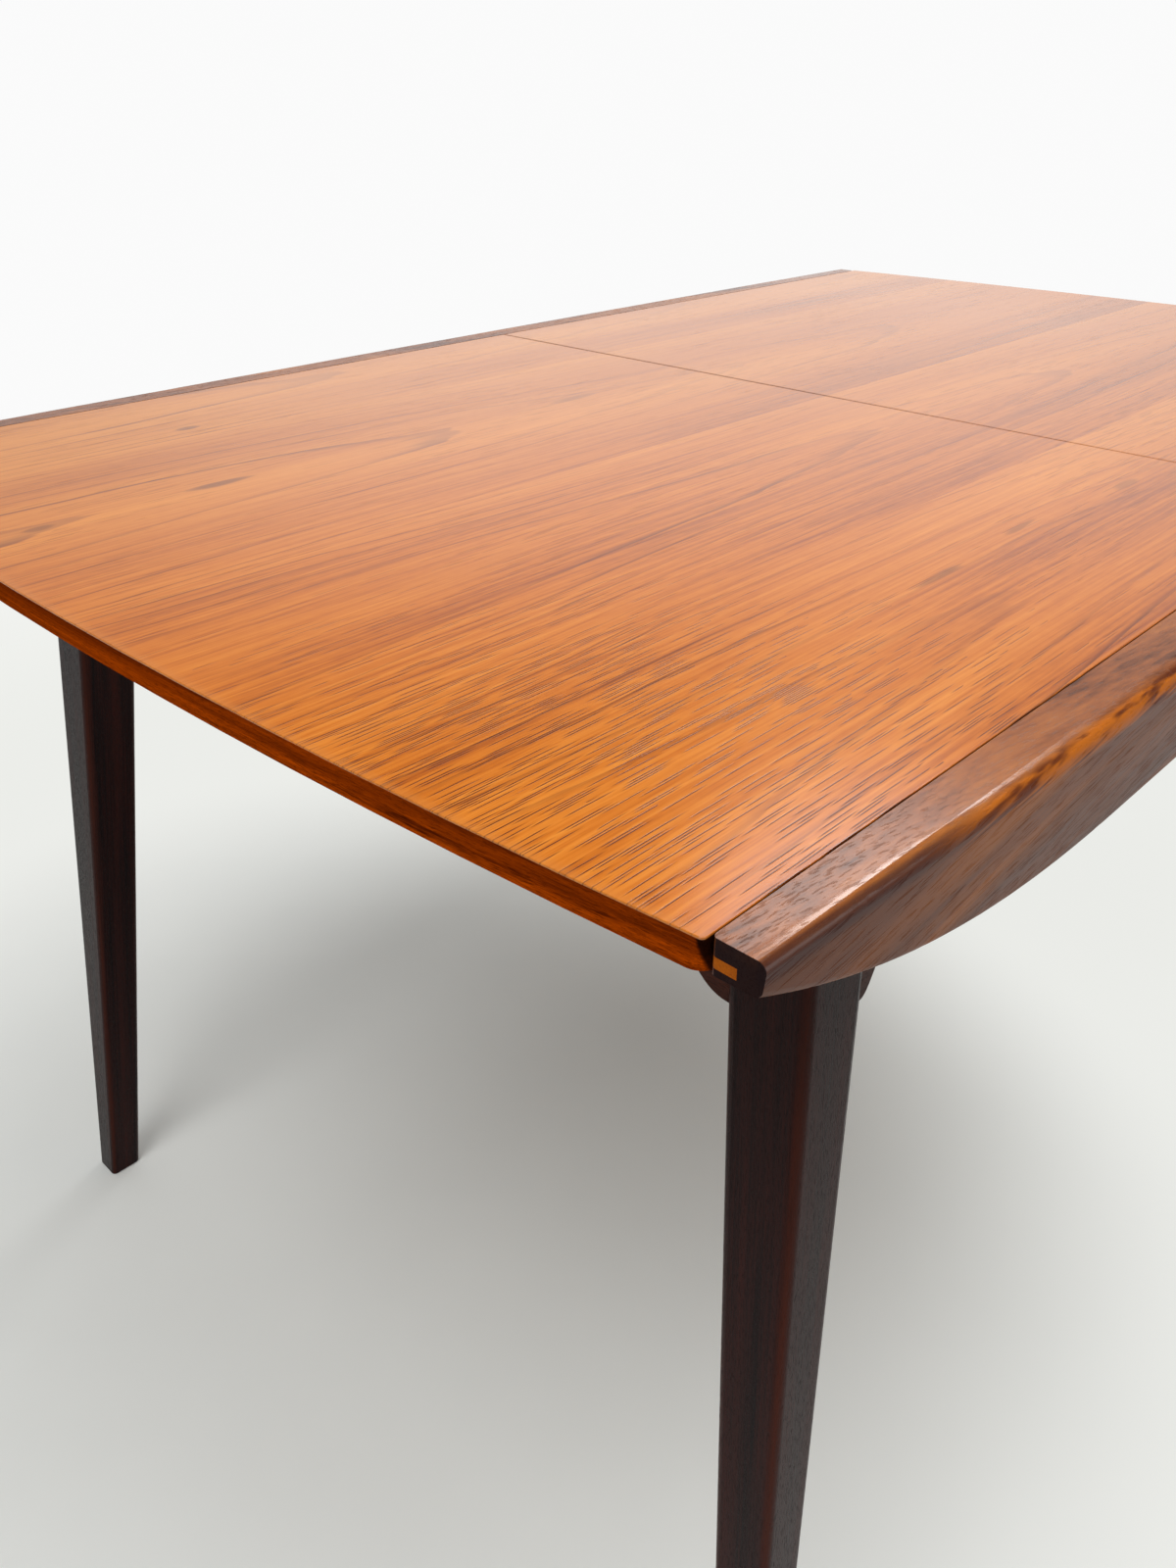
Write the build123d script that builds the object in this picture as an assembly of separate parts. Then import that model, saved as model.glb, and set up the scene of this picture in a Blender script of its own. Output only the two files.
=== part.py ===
from build123d import *
import math
import os

# Extending dining table. The top is two veneered halves that meet at a seam across the middle and slide
# apart along the length, guided by hardwood runners in two fixed, boat-shaped side rails. Splayed, tapered
# legs are tenoned to leaning aprons, and cross bearers carry the halves and the rails.
# X runs along the table, Y across it and Z up. The origin is on the floor under the middle of the top.
# The front is the -X end, and left is +Y. All sizes are in millimetres.

# Top
TABLE_HEIGHT = 750.0
TOP_LENGTH = 1269.0          # closed, measured along the sides
TOP_WIDTH = 778.0            # between the rails' inner faces
END_BOW = 17.9               # how far each end swells out at the middle of its width
TOP_THICKNESS = 18.0
VENEER = 0.8
SEAM_GAP = 0.6
SIDE_GAP = 0.8               # running gap between a half and a rail
END_LIP_WIDTH = 22.0         # at the corners, where the lipping is narrowest
SEAM_LIP_WIDTH = 8.0
SIDE_LIP_WIDTH = 18.0
END_UNDERCUT = 4.0
SIDE_UNDERCUT = 2.0
CORNER_ROUND = 2.0           # plan radius of a top corner at the upper face
CORNER_ROUND_BELOW = 9.0     # and at the lower face
ARRIS_ROUND = 0.5

# Slides
STOP_FROM_SEAM = 54.5        # outer face of a stop, which meets an outer bearer at the end of the travel
STOP_LENGTH = 20.0
STOP_WIDTH = 60.0
STOP_HEIGHT = 16.0
STOP_Y = 200.0
SEAM_DOWEL_DIAMETER = 8.0
SEAM_DOWEL_LENGTH = 36.0
SEAM_DOWEL_REACH = 12.0      # how far a dowel stands out of the front half's seam edge
SEAM_DOWEL_SPACING = 250.0
SEAM_DOWEL_CLEARANCE = 0.3

# Side rails and runners
RAIL_SETBACK = 3.0           # from the corner of the top to the rail's end
RAIL_MID_WIDTH = 35.0        # to the sharp corner that the round-over takes off
RAIL_END_WIDTH = 21.5
RAIL_FOOT_WIDTH = 13.5       # at the deepest part of the lower edge
RAIL_MID_DEPTH = 86.0
RAIL_END_DEPTH = 14.5
RAIL_FLAT_LENGTH = 660.0     # straight middle stretch of the lower edge
RAIL_MID_ROUND = 11.0        # round-over of the upper outer edge, which grows towards the middle
RAIL_END_ROUND = 3.5
RAIL_FOOT_ROUND = 4.0        # of the lower outer edge
RAIL_END_EASE = 2.5          # of the inner corner at each end
RAIL_STATIONS = 4            # loft sections on each side of the middle one
RUNNER_HEIGHT = 4.5
RUNNER_DROP = 9.4            # from the top face down to the runner's middle
RUNNER_IN_RAIL = 10.5
RUNNER_TONGUE = 6.0          # how far it stands out into a half's groove
RUNNER_TONGUE_SETBACK = 30.0
GROOVE_CLEARANCE = 0.4
GROOVE_END_CLEARANCE = 3.0

# Legs
LEG_CLEARANCE = 2.0          # from the leg's top up to the halves
LEG_TOP_SIZE = 49.5
LEG_FOOT_SIZE = 29.0
LEG_TOP_ROUND = 6.5
LEG_FOOT_ROUND = 4.5
LEG_FOOT_CHAMFER = 1.5
LEG_TOP_FROM_END = 153.5     # leg's axis, from the corner of the top
LEG_TOP_FROM_RAIL = 66.0     # leg's axis, inside the rail's inner face
LEG_SPLAY = 82.0             # how far the foot stands out, both ways

# Aprons
APRON_THICKNESS = 22.0
APRON_SETBACK = 2.0          # behind the legs' outer faces
APRON_LEG_DEPTH = 122.0
APRON_MID_DEPTH = 62.0
END_SHOULDER_RUN = 80.0      # length of the curve from the deep part at a leg to the shallow middle
END_SHOULDER_LEVEL = 30.0    # how long it stays about level at the leg: the curve's first handle
SIDE_SHOULDER_RUN = 64.0
SIDE_SHOULDER_LEVEL = 12.0
TENON_THICKNESS = 10.0
TENON_HEIGHT = 60.0
TENON_DROP = 22.0
TENON_LENGTH = 26.0          # past the leg's face
TENON_ROOT = 13.0            # back into the board

# Cross bearers and corner blocks
BEARER_WIDTH = 50.0
BEARER_HEIGHT = 24.0
BEARER_FROM_LEG = 151.0      # the outer two, from the legs' axes at the top
BLOCK_REACH = 95.0           # along each apron
BLOCK_HEIGHT = 42.0
BLOCK_DROP = 12.0
BLOCK_SCREW_INSET = 19.0     # of each screw, from the end of the block

# Fasteners
SCREW_DIAMETER = 4.5
SCREW_HEAD_DIAMETER = 8.5
SCREW_HEAD_HEIGHT = 3.0
BLOCK_SCREW_LENGTH = 28.0
BEARER_SCREW_LENGTH = 55.0
STOP_SCREW_LENGTH = 24.0
DOWEL_DIAMETER = 8.0
DOWEL_LENGTH = 40.0
DOWEL_IN_RAIL = 14.0
DOWEL_CHAMFER = 0.8

# Places worked out from the sizes above
HALF_LENGTH = TOP_LENGTH / 2
INNER_Y = TOP_WIDTH / 2
HALF_Y = INNER_Y - SIDE_GAP
UNDERSIDE = TABLE_HEIGHT - TOP_THICKNESS
CORE_TOP = TABLE_HEIGHT - VENEER
SEAM_X = SEAM_GAP / 2
LIP_X = HALF_LENGTH - END_LIP_WIDTH
RAIL_X = HALF_LENGTH - RAIL_SETBACK
RUNNER_Z = TABLE_HEIGHT - RUNNER_DROP
TONGUE_X = RAIL_X - RUNNER_TONGUE_SETBACK
LEG_TOP = UNDERSIDE - LEG_CLEARANCE
LEG_TOP_X = HALF_LENGTH - LEG_TOP_FROM_END
LEG_TOP_Y = INNER_Y - LEG_TOP_FROM_RAIL
BEARER_BOTTOM = UNDERSIDE - BEARER_HEIGHT
BEARER_X = LEG_TOP_X - BEARER_FROM_LEG
LEG_TAPER = (LEG_TOP_SIZE - LEG_FOOT_SIZE) / 2
LEG_LEAN = math.atan((LEG_SPLAY - LEG_TAPER) / LEG_TOP)      # of the outer faces
LEG_INNER_SLOPE = (LEG_SPLAY + LEG_TAPER) / LEG_TOP          # of the inner faces


def block(x0, x1, y0, y1, z0, z1):
    """A box between two corners."""
    centre = Pos((x0 + x1) / 2, (y0 + y1) / 2, (z0 + z1) / 2)
    return centre * Box(abs(x1 - x0), abs(y1 - y0), abs(z1 - z0))


def across(shape):
    """The same shape on the other side of the table."""
    return mirror(shape, about=Plane.XZ)


def along(shape):
    """The same shape at the other end of the table."""
    return mirror(shape, about=Plane.YZ)


def rod(diameter, start, end, chamfer_size=0.0):
    """A round bar from one point to another, with both ends chamfered."""
    axis = Vector(*end) - Vector(*start)
    bar = Cylinder(diameter / 2, axis.length, align=(Align.CENTER, Align.CENTER, Align.MIN))
    if chamfer_size > 0:
        bar = chamfer(bar.edges().filter_by(GeomType.CIRCLE), chamfer_size)
    return Plane(origin=start, z_dir=axis).location * bar


def screw(length, head, direction):
    """A countersunk wood screw with its head's face at one point."""
    shank = SCREW_DIAMETER / 2
    rim = SCREW_HEAD_DIAMETER / 2
    profile = Polyline((0, 0), (rim, 0), (shank, -SCREW_HEAD_HEIGHT), (shank, -length + shank), (0, -length),
                       close=True)
    body = revolve(Plane.XZ * make_face(profile), axis=Axis.Z)
    return Plane(origin=head, z_dir=-Vector(*direction)).location * body


def end_outline(x_start, undercut, side_undercut, corner):
    """Plan of a half's outer end: straight sides, a bowed end and rounded corners."""
    x_end = HALF_LENGTH - undercut
    y_end = HALF_Y - side_undercut
    sides = Polyline((x_end, -y_end), (x_start, -HALF_Y), (x_start, HALF_Y), (x_end, y_end))
    bow = ThreePointArc((x_end, y_end), (x_end + END_BOW, 0), (x_end, -y_end))
    outline = make_face(sides + bow)
    corners = outline.vertices().group_by(Axis.X)[-1]
    return fillet(corners, corner)


def veneer_sheet():
    sheet = extrude(Pos(0, 0, CORE_TOP) * end_outline(SEAM_X, 0, 0, CORNER_ROUND), VENEER)
    arris = sheet.faces().sort_by(Axis.Z)[-1].edges().sort_by(Axis.X)[1:]
    return fillet(arris, ARRIS_ROUND)


def end_lipping():
    lower = Pos(0, 0, UNDERSIDE) * end_outline(LIP_X, END_UNDERCUT, SIDE_UNDERCUT, CORNER_ROUND_BELOW)
    upper = Pos(0, 0, CORE_TOP) * end_outline(LIP_X, 0, 0, CORNER_ROUND)
    return loft([lower.face(), upper.face()], ruled=True)


def side_lipping():
    lip = block(SEAM_X, LIP_X, HALF_Y - SIDE_LIP_WIDTH, HALF_Y, UNDERSIDE, CORE_TOP)
    groove_depth = RUNNER_TONGUE - SIDE_GAP + GROOVE_CLEARANCE
    groove_half = RUNNER_HEIGHT / 2 + GROOVE_CLEARANCE
    groove = block(0, TONGUE_X + GROOVE_END_CLEARANCE, HALF_Y - groove_depth, INNER_Y,
                   RUNNER_Z - groove_half, RUNNER_Z + groove_half)
    return lip - groove


def seam_lipping():
    inner = HALF_Y - SIDE_LIP_WIDTH
    return block(SEAM_X, SEAM_X + SEAM_LIP_WIDTH, -inner, inner, UNDERSIDE, CORE_TOP)


def core_panel():
    inner = HALF_Y - SIDE_LIP_WIDTH
    return block(SEAM_X + SEAM_LIP_WIDTH, LIP_X, -inner, inner, UNDERSIDE, CORE_TOP)


def seam_dowel_places():
    return [(step * SEAM_DOWEL_SPACING, (UNDERSIDE + CORE_TOP) / 2) for step in (-1, 0, 1)]


def seam_dowels():
    end = SEAM_DOWEL_REACH - SEAM_X
    start = end - SEAM_DOWEL_LENGTH
    places = seam_dowel_places()
    return [rod(SEAM_DOWEL_DIAMETER, (start, y, z), (end, y, z), DOWEL_CHAMFER) for y, z in places]


def seam_sockets():
    """What the dowels need cut out of the rear half."""
    bore = SEAM_DOWEL_DIAMETER + 2 * SEAM_DOWEL_CLEARANCE
    end = SEAM_DOWEL_REACH + SEAM_X
    return [rod(bore, (0, y, z), (end, y, z)) for y, z in seam_dowel_places()]


def stop_blocks():
    half = STOP_WIDTH / 2
    stop = block(STOP_FROM_SEAM - STOP_LENGTH, STOP_FROM_SEAM, STOP_Y - half, STOP_Y + half,
                 UNDERSIDE - STOP_HEIGHT, UNDERSIDE)
    return [stop, across(stop)]


def stop_screws():
    screws = []
    for y in (-STOP_Y, STOP_Y):
        for side in (-STOP_WIDTH / 4, STOP_WIDTH / 4):
            head = (STOP_FROM_SEAM - STOP_LENGTH / 2, y + side, UNDERSIDE - STOP_HEIGHT)
            screws.append(screw(STOP_SCREW_LENGTH, head, (0, 0, 1)))
    return screws


def rail_elevation():
    """The left rail's side view as a slab, with a flat lower edge and arcs rising to the ends."""
    flat = RAIL_FLAT_LENGTH / 2
    bottom, tip = TABLE_HEIGHT - RAIL_MID_DEPTH, TABLE_HEIGHT - RAIL_END_DEPTH
    right = TangentArc((flat, bottom), (RAIL_X, tip), tangent=(1, 0))
    left = TangentArc((-flat, bottom), (-RAIL_X, tip), tangent=(-1, 0))
    rim = Polyline((RAIL_X, tip), (RAIL_X, TABLE_HEIGHT), (-RAIL_X, TABLE_HEIGHT), (-RAIL_X, tip))
    sketch = make_face(right + rim + left + Line((-flat, bottom), (flat, bottom)))
    return extrude(Plane.XZ.offset(-INNER_Y) * sketch, -2 * RAIL_MID_WIDTH)


def rail_section(x):
    """The left rail's full-depth section at one place: flat top, round-over and leaning outer face."""
    share = (x / RAIL_X) ** 2
    width = RAIL_MID_WIDTH + (RAIL_END_WIDTH - RAIL_MID_WIDTH) * share
    radius = RAIL_MID_ROUND + (RAIL_END_ROUND - RAIL_MID_ROUND) * share
    bottom, back_y = TABLE_HEIGHT - RAIL_MID_DEPTH, INNER_Y - RAIL_MID_WIDTH
    outline = make_face(Polyline((back_y, bottom), (INNER_Y + RAIL_FOOT_WIDTH, bottom),
                                 (INNER_Y + width, TABLE_HEIGHT), (back_y, TABLE_HEIGHT), close=True))
    outer_edge = outline.vertices().sort_by(Axis.X)[-1]
    upright = Plane(origin=(x, 0, 0), x_dir=(0, 1, 0), z_dir=(1, 0, 0))
    return (upright * fillet(outer_edge, radius)).face()


def side_rail():
    """Left rail: a loft trimmed to its side view, with its edges rounded and the runner's groove cut."""
    stations = [RAIL_X * step / RAIL_STATIONS for step in range(-RAIL_STATIONS, RAIL_STATIONS + 1)]
    rail = rail_elevation() & loft([rail_section(x) for x in stations])
    lower_edges = rail.edges().filter_by(GeomType.BSPLINE).sort_by(Axis.Z)[:3]
    rail = fillet(lower_edges, RAIL_FOOT_ROUND)
    uprights = rail.edges().filter_by(Axis.Z).group_by(Axis.Y)[0]
    rail = fillet(uprights, RAIL_END_EASE)
    groove = block(-RAIL_X, RAIL_X, INNER_Y, INNER_Y + RUNNER_IN_RAIL,
                   RUNNER_Z - RUNNER_HEIGHT / 2, RUNNER_Z + RUNNER_HEIGHT / 2)
    return rail - groove


def runner():
    low, high = RUNNER_Z - RUNNER_HEIGHT / 2, RUNNER_Z + RUNNER_HEIGHT / 2
    strip = block(-RAIL_X, RAIL_X, INNER_Y, INNER_Y + RUNNER_IN_RAIL, low, high)
    ends = strip.edges().filter_by(Axis.Z).group_by(Axis.Y)[0]
    strip = fillet(ends, RAIL_END_EASE)
    return strip + block(-TONGUE_X, TONGUE_X, INNER_Y - RUNNER_TONGUE, INNER_Y, low, high)


def leg_blank():
    """Rear left leg: square with rounded corners, tapered and splayed both ways."""
    foot_place = Pos(LEG_TOP_X + LEG_SPLAY, LEG_TOP_Y + LEG_SPLAY, 0)
    foot = foot_place * RectangleRounded(LEG_FOOT_SIZE, LEG_FOOT_SIZE, LEG_FOOT_ROUND)
    top_place = Pos(LEG_TOP_X, LEG_TOP_Y, LEG_TOP)
    top = top_place * RectangleRounded(LEG_TOP_SIZE, LEG_TOP_SIZE, LEG_TOP_ROUND)
    blank = loft([foot.face(), top.face()], ruled=True)
    return chamfer(blank.faces().sort_by(Axis.Z)[0].edges(), LEG_FOOT_CHAMFER)


def apron_sketch(leg_face, shoulder_run, shoulder_level):
    """Face view of an apron: a rounded lobe at each leg, rising in an ogee to the shallow middle."""
    start = leg_face + LEG_INNER_SLOPE * APRON_LEG_DEPTH
    reach = start + LEG_TOP_SIZE / 2
    shoulder = start - shoulder_run
    rise = Bezier((start, -APRON_LEG_DEPTH), (start - shoulder_level, -APRON_LEG_DEPTH),
                  (shoulder + shoulder_run / 2, -APRON_MID_DEPTH), (shoulder, -APRON_MID_DEPTH))
    rim = Polyline((start, -APRON_LEG_DEPTH), (reach, -APRON_LEG_DEPTH), (reach, APRON_THICKNESS),
                   (0, APRON_THICKNESS), (0, -APRON_MID_DEPTH), (shoulder, -APRON_MID_DEPTH))
    face = make_face(rim + rise)
    return face + mirror(face, about=Plane.YZ)


def leaning_plane(distance, direction):
    """Plane of an apron's outer face, parallel to the legs': direction is 0 for an end and 90 for a side."""
    turn = math.radians(direction)
    out = Vector(math.cos(turn), math.sin(turn), 0)
    normal = out * math.cos(LEG_LEAN) + Vector(0, 0, math.sin(LEG_LEAN))
    return Plane(origin=out * distance + Vector(0, 0, LEG_TOP), x_dir=(-out.Y, out.X, 0), z_dir=normal)


def tenons(plane, leg_face):
    """The two tenons of an apron, thinner than the board and centred in it."""
    start = leg_face - TENON_ROOT
    end = leg_face + TENON_LENGTH
    shape = Pos((start + end) / 2, -TENON_DROP - TENON_HEIGHT / 2, -APRON_THICKNESS / 2)
    tenon = shape * Box(end - start, TENON_HEIGHT, TENON_THICKNESS)
    return [plane.location * tenon, plane.location * mirror(tenon, about=Plane.YZ)]


def apron_board(plane, sketch):
    """An apron's board, long enough to run into its legs, with its upper edge cut level."""
    board = extrude(plane * sketch, -APRON_THICKNESS)
    size = TOP_LENGTH
    return board - block(-size, size, -size, size, LEG_TOP, LEG_TOP + TABLE_HEIGHT)


def apron(plane, leg_face, sketch, legs):
    """A board fitted between two legs, with a tenon into each."""
    board = cut(apron_board(plane, sketch), legs)
    for tenon in tenons(plane, leg_face):
        board = board + tenon
    return board


def bearer(x):
    return block(x - BEARER_WIDTH / 2, x + BEARER_WIDTH / 2, -INNER_Y, INNER_Y, BEARER_BOTTOM, UNDERSIDE)


def corner_block(neighbours):
    """Rear left glue block: a triangle in the corner of two aprons, cut to fit round the leg."""
    x, y = LEG_TOP_X + APRON_THICKNESS / 2, LEG_TOP_Y + APRON_THICKNESS / 2
    sketch = make_face(Polyline((x, y), (x - BLOCK_REACH, y), (x, y - BLOCK_REACH), close=True))
    body = extrude(Pos(0, 0, LEG_TOP - BLOCK_DROP - BLOCK_HEIGHT) * sketch, BLOCK_HEIGHT)
    return cut(body, neighbours).solids().sort_by(SortBy.VOLUME)[-1]


def corner_block_screws():
    """One screw into each apron from the face of the rear left block."""
    z = LEG_TOP - BLOCK_DROP - BLOCK_HEIGHT / 2
    near = BLOCK_SCREW_INSET
    far = BLOCK_REACH - BLOCK_SCREW_INSET
    x, y = LEG_TOP_X + APRON_THICKNESS / 2, LEG_TOP_Y + APRON_THICKNESS / 2
    return [screw(BLOCK_SCREW_LENGTH, (x - near, y - far, z), (1, 0, 0)),
            screw(BLOCK_SCREW_LENGTH, (x - far, y - near, z), (0, 1, 0))]


def bearer_screws(side_apron_y):
    screws = []
    for x in (-BEARER_X, 0, BEARER_X):
        for y in (-side_apron_y, side_apron_y):
            screws.append(screw(BEARER_SCREW_LENGTH, (x, y, UNDERSIDE), (0, 0, -1)))
    return screws


def rail_dowels():
    """Two dowels from each end of each bearer into the rail."""
    dowels = []
    z = (BEARER_BOTTOM + UNDERSIDE) / 2
    for x in (-BEARER_X, 0, BEARER_X):
        for side in (-BEARER_WIDTH / 4, BEARER_WIDTH / 4):
            inside = (x + side, INNER_Y + DOWEL_IN_RAIL - DOWEL_LENGTH, z)
            outside = (x + side, INNER_Y + DOWEL_IN_RAIL, z)
            dowel = rod(DOWEL_DIAMETER, inside, outside, DOWEL_CHAMFER)
            dowels += [dowel, across(dowel)]
    return dowels


def save(name, shape):
    """Writes one piece, or a group of like pieces, to its own file."""
    solids = shape if isinstance(shape, list) else [shape]
    body = solids[0] if len(solids) == 1 else Compound(children=[solid.solid() for solid in solids])
    export_step(body, os.path.join("parts", name + ".step"))


def save_quarters(kind, rear_left):
    """Writes a corner piece and its three mirrored copies."""
    save("rear_left_" + kind, rear_left)
    save("rear_right_" + kind, across(rear_left))
    save("front_left_" + kind, along(rear_left))
    save("front_right_" + kind, across(along(rear_left)))


def cut(shape, tools):
    """A shape with each of the tools taken out of it."""
    for tool in tools:
        shape = shape - tool
    return shape


def save_under_frame():
    """Legs, aprons, bearers, corner blocks, side rails and runners, with what fastens them."""
    blank = leg_blank()
    end_plane = leaning_plane(LEG_TOP_X + LEG_TOP_SIZE / 2 - APRON_SETBACK, 0)
    side_plane = leaning_plane(LEG_TOP_Y + LEG_TOP_SIZE / 2 - APRON_SETBACK, 90)
    end_face, side_face = LEG_TOP_Y - LEG_TOP_SIZE / 2, LEG_TOP_X - LEG_TOP_SIZE / 2
    end_sketch = apron_sketch(end_face, END_SHOULDER_RUN, END_SHOULDER_LEVEL)
    side_sketch = apron_sketch(side_face, SIDE_SHOULDER_RUN, SIDE_SHOULDER_LEVEL)
    rear_apron = apron(end_plane, end_face, end_sketch, [blank, across(blank)])
    left_apron = apron(side_plane, side_face, side_sketch, [blank, along(blank)])
    places = {"front_bearer": -BEARER_X, "centre_bearer": 0, "rear_bearer": BEARER_X}
    bearers = {name: bearer(x) for name, x in places.items()}
    left_apron = cut(left_apron, bearers.values())
    corner = corner_block([blank, rear_apron, left_apron])

    to_end, to_side = corner_block_screws()
    corner_screws = [to_end, to_side, across(to_end), across(to_side)]
    corner_screws += [along(item) for item in corner_screws]
    down_screws = bearer_screws(side_plane.origin.Y - APRON_THICKNESS / 2)
    dowels = rail_dowels()
    save("corner_block_screws", corner_screws)
    save("bearer_screws", down_screws)
    save("rail_dowels", dowels)

    save_quarters("leg", cut(blank, tenons(end_plane, end_face) + tenons(side_plane, side_face)))
    rear_apron = cut(rear_apron, [to_end, across(to_end)])
    save("rear_end_apron", rear_apron)
    save("front_end_apron", along(rear_apron))
    left_apron = cut(left_apron, [to_side, along(to_side)] + down_screws)
    save("left_side_apron", left_apron)
    save("right_side_apron", across(left_apron))
    save_quarters("corner_block", cut(corner, [to_end, to_side]))
    for name, bar in bearers.items():
        save(name, cut(bar, down_screws + dowels))
    rail = cut(side_rail(), dowels)
    save("left_side_rail", rail)
    save("right_side_rail", across(rail))
    save("left_runner", runner())
    save("right_runner", across(runner()))


def save_top():
    """The rear half of the top with dowel sockets, and the front half as its mirror image with dowels."""
    screws = stop_screws()
    dowels = seam_dowels()
    sockets = seam_sockets()
    core = cut(core_panel(), screws)
    save("rear_core_panel", cut(core, sockets))
    save("front_core_panel", cut(along(core), dowels))
    save("rear_seam_lipping", cut(seam_lipping(), sockets))
    save("front_seam_lipping", cut(along(seam_lipping()), dowels))
    save("seam_dowels", dowels)
    for name, shape in (("veneer", veneer_sheet()), ("end_lipping", end_lipping())):
        save("rear_" + name, shape)
        save("front_" + name, along(shape))
    save_quarters("side_lipping", side_lipping())
    drilled = [cut(stop, screws) for stop in stop_blocks()]
    for name, group in (("stop_blocks", drilled), ("stop_screws", screws)):
        save("rear_" + name, group)
        save("front_" + name, [along(item) for item in group])


os.makedirs("parts", exist_ok=True)
save_under_frame()
save_top()
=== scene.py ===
import math

import bpy
from bpy.props import FloatProperty, FloatVectorProperty, PointerProperty
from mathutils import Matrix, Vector


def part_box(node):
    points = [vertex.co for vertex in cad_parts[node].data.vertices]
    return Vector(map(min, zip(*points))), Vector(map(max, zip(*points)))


bl_info = {
    "name": "Extending dining table",
    "version": (1, 0, 0),
    "blender": (4, 5, 0),
    "location": "3D View > Sidebar > Table",
    "description": "Finishes a packed extending table in teak and sets it in a plain studio",
    "category": "Object",
}

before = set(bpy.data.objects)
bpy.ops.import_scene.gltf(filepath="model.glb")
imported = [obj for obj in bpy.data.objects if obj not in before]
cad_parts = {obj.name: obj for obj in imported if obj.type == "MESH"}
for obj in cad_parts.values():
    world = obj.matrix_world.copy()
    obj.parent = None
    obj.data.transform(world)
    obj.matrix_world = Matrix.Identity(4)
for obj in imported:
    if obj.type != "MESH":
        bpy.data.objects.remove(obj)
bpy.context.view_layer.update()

ENDS = ("front", "rear")
SIDES = ("left", "right")
CORNERS = [f"{end}_{side}" for end in ENDS for side in SIDES]

# Sizes of the rails as built, in metres. The width is measured to the corner that the round-over takes off
RAIL_SETBACK = 0.003
RAIL_MID_WIDTH = 0.035
RAIL_NARROWING = 0.0135      # from the middle to an end

# Sizes of the legs as built: half their thickness, and how far the foot stands out, both ways
LEG_HALF_TOP, LEG_HALF_FOOT = 0.02475, 0.0145
LEG_SPLAY = 0.082

# Plan of the top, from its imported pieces, in metres
TOP_HALF_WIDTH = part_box("rear_veneer")[1].y
TOP_CORNER_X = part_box("left_side_rail")[1].x + RAIL_SETBACK
TOP_MIDDLE_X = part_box("rear_veneer")[1].x
TOP_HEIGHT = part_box("rear_veneer")[1].z
RAIL_INNER_Y, RAIL_END_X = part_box("left_side_rail")[0].y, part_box("left_side_rail")[1].x
LIPPING_MIDDLE = sum(corner.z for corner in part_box("front_end_lipping")) / 2

# Which way the grain of a piece is turned so that it runs along X in its finish
ALONG = (0.0, 0.0, 0.0)
ACROSS = (0.0, 0.0, math.radians(-90.0))
RAIL_GRAIN = (0.0, math.radians(9.0), math.radians(5.5))
FLAME_GRAIN = (0.0, math.radians(13.0), math.radians(5.5))

# Depth of the texture of a surface, in metres
VENEER_DEPTH = 0.00005
WOOD_DEPTH = 0.00010
STAINED_DEPTH = 0.00008
STEEL_DEPTH = 0.00002

# Where the veneer's leaves meet, across the table, in metres. The outer edges lie beyond the top
LEAF_EDGES = (-0.45, -0.208, 0.0, 0.25, 0.48)

# Textures of the veneer: repeats in a metre along and across the grain, detail and roughness
VENEER_TEXTURES = {
    "sway": (1.3, 5.0, 2.0, 0.50),
    "ragged": (9.0, 60.0, 2.0, 0.50),
    "patch": (4.0, 14.0, 2.0, 0.50),
    "broad": (0.8, 14.0, 3.0, 0.55),
    "fibre": (6.5, 330.0, 3.0, 0.60),
    "fleck": (24.0, 720.0, 2.0, 0.60),
    "mottle": (130.0, 190.0, 1.0, 0.50),
    "smudge": (3.0, 5.0, 2.0, 0.50),
}

# The corner by which the veneer's grain is most open, and the veneer's pores: rows and dashes in a metre
OPEN_CORNER_X, OPEN_CORNER_Y = -0.65, -0.39
PORE_ROWS = 780.0
PORE_DASHES = 30.0
GRAIN_SWAY = 0.012           # how far the streaks wander sideways, in metres
RINGS = 6.5                  # growth rings in a unit of the figure

# Small dark marks in the veneer: place along and across, half length, half breadth, strength
DARK_MARKS = (
    (-0.418, 0.282, 0.012, 0.006, 0.55),
    (-0.477, 0.142, 0.030, 0.005, 0.60),
    (-0.600, 0.139, 0.012, 0.004, 0.45),
    (-0.150, 0.144, 0.032, 0.006, 0.30),
    (-0.306, -0.279, 0.028, 0.003, 0.45),
    (-0.200, -0.273, 0.024, 0.003, 0.40),
    (-0.073, -0.281, 0.020, 0.005, 0.35),
)

# Wear of the rails, in metres from the middle of the table: where the edges begin to be rubbed and are rubbed
# in full, and the same for hand polish. RUBBED_WIDTH is how far the rubbing reaches in from an edge
RUBBED_FROM, RUBBED_TO = 0.485, 0.55
POLISHED_FROM, POLISHED_TO = 0.25, 0.58
RUBBED_WIDTH = 0.011

# Tones that figure, wear, stain, end grain and tarnish give the pieces, with painted shade and a painted
# highlight, in linear light
RED_TINGE = (0.56, 0.07, 0.0)
GROWTH_LINE = (0.15, 0.035, 0.008)
WORN_EDGE = (0.56, 0.19, 0.035)
SEAM_POLISH = (0.050, 0.016, 0.007)
# Painted shade, near black, in the gaps beside the rails, on edges that are also stained dark
GAP_STAIN_AND_SHADE = (0.008, 0.003, 0.002)
BAND_LIGHT, BAND_DARK = (0.52, 0.135, 0.006), (0.12, 0.022, 0.003)
FLAME_DARK, FLAME_BODY, FLAME_LIGHT = (0.060, 0.017, 0.010), (0.150, 0.042, 0.016), (0.370, 0.110, 0.022)
RAIL_END_FACE = (0.085, 0.020, 0.010)
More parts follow.
